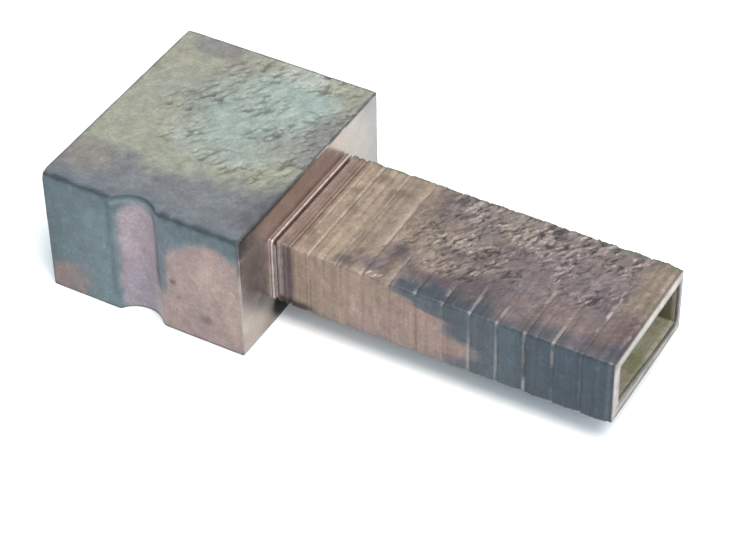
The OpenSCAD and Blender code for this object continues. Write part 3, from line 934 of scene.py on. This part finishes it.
def mouth_piece(side_material, face_material):
    """The end frame: stained outside, and a pale face with uneven edges round the passage."""
    length = MOUTH_HIGH[0] - MOUTH_LOW[0]
    bore_y = LINER_HALF_Y - LINER_WALL
    bore_z = LINER_HALF_Z - LINER_WALL
    rows = MOUTH_LOW[0] + np.array([0, 0.05, 0.12, 0.2, length - 0.06, length - 0.02, length - 0.01])
    lift = np.array([0, 0, 0, 0, 0, -0.03, -0.07])
    outer, out = ring_loops(
        SLEEVE_RING, rows, MOUTH_HALF_Y + lift, MOUTH_HALF_Z + lift, MOUTH_CORNER, SLEEVE_CENTRE
    )
    wear = 0.07 * (rough_noise(outer, 1.3, 137, 3) - 0.75)
    outer = outer + out * wear[..., None]
    hole_rows = MOUTH_LOW[0] + np.array([length - 0.01, length - 0.04, length - 0.12, 0.1, 0])
    flare = np.array([0.06, 0.02, 0, 0, 0])
    hole, hole_out = ring_loops(
        SLEEVE_RING, hole_rows, bore_y + flare, bore_z + flare, MOUTH_CORNER, BORE_CENTRE
    )
    hole = hole + hole_out * (0.12 * (rough_noise(hole, 1.6, 139, 3) - 0.45))[..., None]

    # The opening is wider at the far side, and its lower edge drops towards that side
    along = ramp(-bore_y, bore_y, hole[..., 1] - BORE_Y)
    hole[..., 2] += (0.3 - 0.65 * along) * ramp(0, 0.3 - bore_z, hole[..., 2] - SLEEVE_Z)
    hole[..., 1] += 0.45 * ramp(3.0, bore_y - 0.3, hole[..., 1] - BORE_Y)

    # The uneven face, darker at both its edges and paler along a worn ridge
    face = between(outer[-1], hole[0], 8)
    face[..., 0] = MOUTH_HIGH[0] - 0.01 - 0.03 * rough_noise(face, 0.5, 149, 3)
    loops = np.concatenate([outer, face, hole])
    every_out = np.concatenate([out, np.broadcast_to(out[:1], (len(loops) - len(rows),) + out.shape[1:])])
    p = loops.reshape(-1, 3)
    zero = np.zeros(len(p))
    paint = Paint(len(p), (166, 162, 158))
    soft = 0.8 * (rough_noise(p, 1.8, 151, 3) - 0.5)
    loop_number = np.repeat(np.arange(len(loops)), loops.shape[1])
    on_face = loop_number >= len(rows) - 2
    across = np.clip((loop_number - (len(rows) - 1)) / (len(face) + 1), 0, 1)
    ridge = hump(across, 0.45, 0.25)
    paint.over((194, 184, 180), ramp(-6.6, -7.2, p[:, 1]) * ramp(11.2, 10.2, p[:, 2]))
    paint.over((222, 212, 202), ramp(10.2, 10.8, p[:, 2]) * ramp(-7, 3, p[:, 1] + 3 * soft))
    paint.over((124, 121, 114), ramp(5.4, 4.6, p[:, 2]) * ramp(-8.4, -7.0, p[:, 1]))
    paint.over((150, 148, 150), ramp(7.0, 7.5, p[:, 1]) * ramp(10.9, 10.1, p[:, 2]))
    paint.over((224, 216, 208), 0.55 * ridge * ramp(-0.3, 0.3, soft + 0.2))
    paint.over((104, 100, 94), 0.55 * np.maximum(ramp(0.16, 0.0, across), 0.6 * ramp(0.89, 1.0, across)))
    paint.scale(1 + 0.7 * soft)
    colours = sleeve_colours(p, every_out.reshape(-1, 3), zero, zero)
    colours = np.where(on_face[:, None], paint.colour, colours)
    piece = make_piece(
        "mouth_frame_worn", "mouth_frame", p, closed_tube(loops), side_material, colours, zero
    )
    piece.data.materials.append(face_material)
    piece.data.polygons.foreach_set("material_index", on_face.astype(np.int32))
    return piece


# -------------------- build the object

stained = patina("stained_block", line_depth=0, grain_depth=0.05, metallic=0.25, rough=(0.45, 0.62), worn=True)
collar_metal = patina(
    "collar_brass", line_depth=0.02, grain_depth=0.04, metallic=0.35, rough=(0.4, 0.58), worn=True
)
plate_metal = patina("plate_brass", line_depth=0.01, grain_depth=0.01, metallic=0.5, rough=(0.3, 0.45))
bright_side = mirror("bright_side", rough=(0.2, 0.3))
liner_metal = patina("liner_brass", line_depth=0, grain_depth=0.004, metallic=0.15, rough=(0.35, 0.5))
mouth_metal = patina("mouth_brass", line_depth=0, grain_depth=0.01, metallic=0.3, rough=(0.45, 0.6))
braze_metal = filler("braze", colour=(206, 196, 172), tint=(190, 180, 160), rough=(0.35, 0.47))

block_piece(stained, bright_side)
liner_piece(liner_metal)
braze_materials = frame["nodes"]["braze_layer"].data.materials
braze_materials.clear()
braze_materials.append(braze_metal)
spacer_piece(plate_metal)
sleeve_piece("root_plate", plate_metal, plate_height("root_plate"), plate_rows)
for node in sorted(frame["nodes"]):
    if node.startswith("shim_"):
        sleeve_piece(node, collar_metal, plate_height(node), plate_rows)
    if node.startswith("collar_") or node == "short_collar":
        sleeve_piece(node, collar_metal, collar_height, collar_rows)
mouth_piece(collar_metal, mouth_metal)


# -------------------- floor, light and camera

def floor(half):
    """A plain pale floor that reaches half metres each way."""
    n = Nodes("floor_white")
    tone = n.fit(n.noise(40.0, detail=2), 0.3, 0.7, 0.0, 1.0)
    material = n.finish(Base_Color=n.mix(tone, srgb(250, 250, 250), srgb(247, 248, 249)), Roughness=0.8)
    mesh = bpy.data.meshes.new("floor")
    corners = [(-half, -half, 0), (half, -half, 0), (half, half, 0), (-half, half, 0)]
    mesh.from_pydata(corners, [], [(0, 1, 2, 3)])
    mesh.materials.append(material)
    plane = bpy.data.objects.new("floor", mesh)
    bpy.context.scene.collection.objects.link(plane)


def world(colour, strength):
    """Even light from all round."""
    made = bpy.data.worlds.new("studio")
    made.use_nodes = True
    background = made.node_tree.nodes["Background"]
    background.inputs["Color"].default_value = (*srgb(*colour), 1)
    background.inputs["Strength"].default_value = strength
    bpy.context.scene.world = made


def sun_light(name, colour, strength, lean_x, lean_y, spread):
    """A broad light from above that leans towards +X and -Y by the given angles, in degrees."""
    light = bpy.data.lights.new(name, "SUN")
    light.color = srgb(*colour)
    light.energy = strength
    light.angle = math.radians(spread)
    lamp = bpy.data.objects.new(name, light)
    towards = Vector((math.tan(math.radians(lean_x)), -math.tan(math.radians(lean_y)), 1)).normalized()
    lamp.rotation_mode = "QUATERNION"
    lamp.rotation_quaternion = towards.to_track_quat("Z", "Y")
    bpy.context.scene.collection.objects.link(lamp)


def camera(azimuth, elevation, roll, distance, target, lens):
    """A camera that looks at target (mm). Azimuth 0 looks along +Y; angles are in degrees, distance in mm."""
    a, e, r = (math.radians(v) for v in (azimuth, elevation, roll))
    back = Vector((math.sin(a) * math.cos(e), -math.cos(a) * math.cos(e), math.sin(e)))
    right = (-back).cross(Vector((0, 0, 1))).normalized()
    up = right.cross(-back)
    tilted_right = right * math.cos(r) + up * math.sin(r)
    tilted_up = up * math.cos(r) - right * math.sin(r)
    data = bpy.data.cameras.new("camera")
    data.lens = lens
    data.sensor_width = 36
    data.clip_start, data.clip_end = 0.01, 20
    made = bpy.data.objects.new("camera", data)
    place = (Vector(target) + back * distance) * MM
    axes = Matrix((tilted_right, tilted_up, back)).transposed().to_4x4()
    made.matrix_world = Matrix.Translation(place) @ axes
    bpy.context.scene.collection.objects.link(made)
    bpy.context.scene.camera = made


floor(half=3.0)
world((228, 246, 255), strength=0.85)
sun_light("key", (255, 243, 233), strength=2.45, lean_x=22, lean_y=14, spread=28)
sun_light("fill", (240, 248, 255), strength=1.2, lean_x=52, lean_y=45, spread=40)
camera(azimuth=30.24, elevation=41.21, roll=-1.08, distance=280.1, target=(19.77, 0, 4.51), lens=123.9)
bpy.context.scene.view_settings.view_transform = "Standard"
